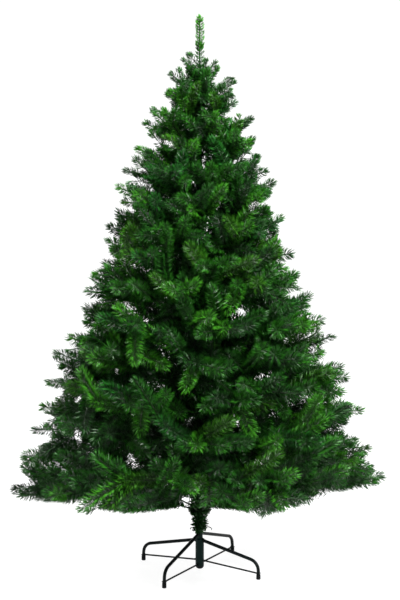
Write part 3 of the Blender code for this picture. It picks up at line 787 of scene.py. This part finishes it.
def build_collars():
    """A moulded collar to each tier, and a hinge with its pin for each bough."""
    sheaf = Sheaf()
    cheek = [(0.0, -0.0045), (0.0060, -0.0045)] + [
        (0.0090 + 0.0045 * math.sin(a), -0.0045 * math.cos(a)) for a in np.linspace(0.0, math.pi, 9)] + [
        (0.0060, 0.0045), (0.0, 0.0045)]
    for tier, (z, _, _, _, _) in enumerate(TIERS):
        inner = 0.0089 if z < 0.93 else 0.0081 if z < 1.55 else 0.0034
        out = inner + 0.0040
        turned(sheaf, [(out, z - 0.0085), (out + 0.0026, z - 0.0083), (out + 0.0030, z - 0.0076), (out + 0.0028, z - 0.0062),
                       (out + 0.0006, z - 0.0056), (out + 0.0004, z + 0.0056), (out + 0.0028, z + 0.0062),
                       (out + 0.0030, z + 0.0076), (out + 0.0026, z + 0.0083), (out, z + 0.0085)], 28)
        for bough in (b for b in BOUGHS if b.tier == tier):
            start = bough.points[0]
            azimuth = math.atan2(start[1], start[0])
            away, beside = lean_of(azimuth), lean_of(azimuth + math.pi / 2)
            root = away * (out - 0.001) + UP * z
            pin = away * (out + 0.0086) + UP * z
            for hand in (-1.0, 1.0):
                plate(sheaf, cheek, root + beside * hand * 0.0036, away, UP, 0.0015)
            tube(sheaf, np.array([pin - beside * 0.0060, pin + beside * 0.0060]), (0.0012, 0.0012), 8, 1)
            ring = np.array([pin + away * 0.0032 * math.cos(a) + UP * 0.0032 * math.sin(a)
                             for a in np.linspace(0.0, math.tau * 0.92, 13)])
            tube(sheaf, ring, np.full(13, 0.0013), 6, 1)
            tube(sheaf, curve_points(pin + away * 0.0032, (pin + start) / 2 + away * 0.004, bough.points[1], 6),
                 np.full(6, bough.wire), 6, 1)
    obj = sheaf.build("bough_collars", [COLLAR, WIRE])
    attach(obj, "root")
    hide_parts("bough_collar")
    print("bough_collars", len(obj.data.polygons))


def build_wrap():
    """Needles wound round the pole under the lowest collar, with the ends of their wire."""
    needles, wires = Sheaf(), Sheaf()
    turns = 5.5
    t = np.linspace(0.0, 1.0, 90)
    radius = 0.0118 - 0.0022 * np.clip((0.22 - t) / 0.22, 0.0, 1.0)
    helix = np.stack([radius * np.cos(math.tau * turns * t), radius * np.sin(math.tau * turns * t), 0.1300 + 0.0640 * t], axis=1)
    tube(wires, helix, np.full(90, 0.0011), 5, 0)
    for start, stop, long, tint in ((0, 20, 0.0165, 5), (20, 60, 0.0215, 0), (58, 90, 0.0195, 5)):
        shoot = Shoot(helix[start:stop], (0.0011, 0.0011), long, 1.0, tint, 62.0, brush=1.0, inner=1.0, width=1.2)
        shoot.trimmed = False
        needles.add(*needle_mesh(shoot, 4400.0))
    # the dark tuft of folded film round the lowest collar
    t = np.linspace(0.0, 1.0, 60)
    ring = np.stack([0.0230 * np.cos(math.tau * 3.0 * t + 0.7), 0.0230 * np.sin(math.tau * 3.0 * t + 0.7), 0.1985 + 0.0110 * t], axis=1)
    shoot = Shoot(ring, (0.0011, 0.0011), 0.0185, 1.0, 0, 66.0, brush=1.0, inner=1.0, width=1.3)
    shoot.trimmed = False
    needles.add(*needle_mesh(shoot, 4600.0))
    # the wire's loose ends
    for path in (
        ((0.010, -0.008, 0.140), (0.027, -0.012, 0.154), (0.040, -0.013, 0.1415), (0.038, -0.013, 0.1370)),
        ((-0.011, -0.007, 0.140), (-0.024, -0.010, 0.147), (-0.031, -0.011, 0.1425), (-0.030, -0.011, 0.1390)),
    ):
        a, b, c, d = (np.array(p) for p in path)
        points = np.concatenate([curve_points(a, b, c, 10), [d]])
        tube(wires, points, np.full(len(points), 0.0014), 6, 0)
    shoot = Shoot(np.array([[-0.016, -0.010, 0.146], [-0.013, -0.0115, 0.132], [-0.0085, -0.0125, 0.119], [-0.006, -0.0128, 0.114]]),
                  (0.0008, 0.0008), 0.0060, 0.5, 5, 30.0, brush=1.0)
    shoot.trimmed = False
    needles.add(*needle_mesh(shoot, 2200.0))
    bound = needles.build("needles_pole_wrap", NEEDLES)
    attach(bound, "root")
    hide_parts("foliage_pole_wrap")
    loose = wires.build("wrap_wire", [WIRE])
    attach(loose, "root")


STAND_TURN, STAND_SKEW = math.radians(58.4), math.radians(3.9)
FOOT_REACH, SLEEVE_R, HUB_R, LEG_R = 0.2135, 0.0140, 0.0100, 0.0055
CORNER_REACH, CORNER_UPPER, CORNER_LOWER, BRACE_Z = 0.2105, 0.0575, 0.0565, 0.0195
# each leg: azimuth, hub radius, height at the hub, height of its brace at the sleeve
LEGS = ((STAND_TURN, HUB_R, 0.120, 0.0200), (STAND_TURN + math.pi, HUB_R, 0.120, 0.0200),
        (STAND_TURN + math.pi / 2 + STAND_SKEW, SLEEVE_R, 0.0992, 0.0322),
        (STAND_TURN - math.pi / 2 + STAND_SKEW, SLEEVE_R, 0.0992, 0.0322))


def build_feet():
    """Moulded rubber caps with two grooves round each."""
    sheaf = Sheaf()
    rows = ((0.0046, 0.0002), (0.0060, 0.0000), (0.0065, 0.0007), (0.0067, 0.0018), (0.0067, 0.0052), (0.0061, 0.0057),
            (0.0061, 0.0065), (0.0067, 0.0070), (0.0067, 0.0104), (0.0061, 0.0109), (0.0061, 0.0117), (0.0066, 0.0122),
            (0.0066, 0.0148), (0.0063, 0.0157), (0.0056, 0.0160), (0.0051, 0.0158))
    for turn, _, _, _ in LEGS:
        place = lean_of(turn) * FOOT_REACH
        turned(sheaf, [(r + 0.0004, z) for r, z in rows], 28, (place[0], place[1]))
    obj = sheaf.build("foot_caps", [RUBBER])
    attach(obj, "root")
    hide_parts(*[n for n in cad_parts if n.startswith("stand_foot_")])


def build_fittings():
    """Weld beads where the legs meet the hub, and the eyes that hold the braces."""
    sheaf = Sheaf()
    for turn, hub, height, brace in LEGS:
        out, beside = lean_of(turn), lean_of(turn + math.pi / 2)
        way = unit(out * (CORNER_REACH - hub) + UP * ((CORNER_UPPER if hub == HUB_R else CORNER_LOWER) - height))
        over = np.cross(way, beside)
        start = out * (hub + 0.0016) + UP * height
        bead = []
        for a in np.linspace(0.0, math.tau, 25)[:-1]:
            # each point of the ring slides along the leg to the tube's round wall
            p = start + (beside * math.cos(a) + over * math.sin(a)) * (LEG_R + 0.0004)
            side = p.dot(beside)
            wall = math.sqrt(max(0.0, hub ** 2 - side ** 2)) + 0.0007
            bead.append(p + way * (wall - p.dot(out)) / way.dot(out))
        bead.append(bead[0])
        radii = 0.0014 + 0.00022 * np.sin(np.arange(25) * 2.1) + RNG.uniform(-0.0001, 0.0001, 25)
        tube(sheaf, np.array(bead), radii, 7)
        eye = out * (SLEEVE_R + 0.0030) + UP * brace
        ring = np.array([eye + out * 0.0026 * math.cos(a) + UP * 0.0026 * math.sin(a) for a in np.linspace(0.0, math.tau, 15)])
        tube(sheaf, ring, np.full(15, 0.0011), 6)
        end = out * (FOOT_REACH - LEG_R) + UP * BRACE_Z
        hook = np.array([end + beside * (LEG_R + 0.0012) * math.sin(a) + out * (LEG_R - (LEG_R + 0.0012) * math.cos(a))
                         for a in np.linspace(-2.4, 2.4, 21)])
        tube(sheaf, hook, np.full(21, 0.0015), 7)
    obj = sheaf.build("stand_welds_and_eyes", [STAND_PAINT])
    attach(obj, "root")


build_pole()
build_collars()
build_wrap()
build_feet()
build_fittings()

# --------------------------------------------------- nodes that keep their shape
for name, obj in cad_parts.items():
    mat = (RUBBER if name == "stand_end_cap" else STAND_PAINT if name.startswith(("stand_leg", "stand_brace"))
           else POLE_PAINT if name in ("stand_sleeve", "stand_hub_tube") else None)
    if mat:
        for s in obj.material_slots:
            s.material = mat

# --------------------------------------------------------- stage, light, camera
def stage():
    """A pale floor that curves up into a backdrop."""
    bm = bmesh.new()
    profile = [(-14.0, 0.0), (4.0, 0.0)] + [(4.0 + 5.0 * math.sin(a), 5.0 - 5.0 * math.cos(a)) for a in np.linspace(0.05, math.pi / 2, 24)] + [(9.0, 16.0)]
    rows = [[bm.verts.new((x, y, z - 0.0002)) for x in (-16.0, 16.0)] for y, z in profile]
    for a, b in zip(rows, rows[1:]):
        bm.faces.new((a[0], a[1], b[1], b[0]))
    mesh = bpy.data.meshes.new("studio_floor")
    bm.to_mesh(mesh)
    bm.free()
    mesh.shade_smooth()
    floor = bpy.data.objects.new("studio_floor", mesh)
    bpy.context.scene.collection.objects.link(floor)
    mat, _, shader = new_material("studio_white")
    shader.inputs["Base Color"].default_value = (0.22, 0.22, 0.22, 1.0)
    shader.inputs["Roughness"].default_value = 0.9
    shader.inputs["Specular IOR Level"].default_value = 0.0
    shader.inputs["Emission Color"].default_value = (1.0, 1.0, 1.0, 1.0)
    shader.inputs["Emission Strength"].default_value = 0.93
    mesh.materials.append(mat)


def softbox(name, place, aim, size, power, colour=(1.0, 1.0, 1.0)):
    light = bpy.data.lights.new(name, "AREA")
    light.shape, light.size, light.energy, light.color = "DISK", size, power, colour
    obj = bpy.data.objects.new(name, light)
    obj.location = place
    obj.rotation_euler = (Vector(aim) - Vector(place)).to_track_quat("-Z", "Y").to_euler()
    bpy.context.scene.collection.objects.link(obj)


stage()
softbox("key", (2.6, -3.6, 3.8), (0.0, 0.0, 0.8), 0.5, 345.0)
softbox("fill", (-3.4, -3.2, 2.2), (0.0, 0.0, 0.8), 1.4, 31.0)
softbox("top", (0.5, -0.6, 4.2), (0.0, 0.0, 1.3), 1.0, 202.0)
softbox("crown", (0.5, -1.3, 2.5), (0.0, 0.0, 1.55), 0.5, 66.0)
softbox("back", (-2.4, 3.2, 3.0), (0.0, 0.0, 0.9), 1.2, 100.0)

world = bpy.data.worlds.new("studio")
world.use_nodes = True
world.node_tree.nodes["Background"].inputs["Color"].default_value = (1.0, 1.0, 1.0, 1.0)
world.node_tree.nodes["Background"].inputs["Strength"].default_value = 0.135
# past the floor's edge the studio looks white, without more light on the tree
backdrop = world.node_tree.nodes.new("ShaderNodeBackground")
backdrop.inputs["Color"].default_value = (1.0, 1.0, 1.0, 1.0)
backdrop.inputs["Strength"].default_value = 1.0
seen = world.node_tree.nodes.new("ShaderNodeLightPath")
either = world.node_tree.nodes.new("ShaderNodeMixShader")
world.node_tree.links.new(seen.outputs["Is Camera Ray"], either.inputs[0])
world.node_tree.links.new(world.node_tree.nodes["Background"].outputs["Background"], either.inputs[1])
world.node_tree.links.new(backdrop.outputs["Background"], either.inputs[2])
world.node_tree.links.new(either.outputs["Shader"], world.node_tree.nodes["World Output"].inputs["Surface"])
bpy.context.scene.world = world
bpy.context.scene.view_settings.view_transform = "Standard"

camera = bpy.data.cameras.new("camera")
camera.sensor_width = 36.0
camera.lens = 78.92
camera_object = bpy.data.objects.new("camera", camera)
camera_object.location = (0.001, -4.2, 1.3945)
camera_object.rotation_euler = (math.radians(90.0 - 6.797), 0.0, 0.0)
bpy.context.scene.collection.objects.link(camera_object)
bpy.context.scene.camera = camera_object
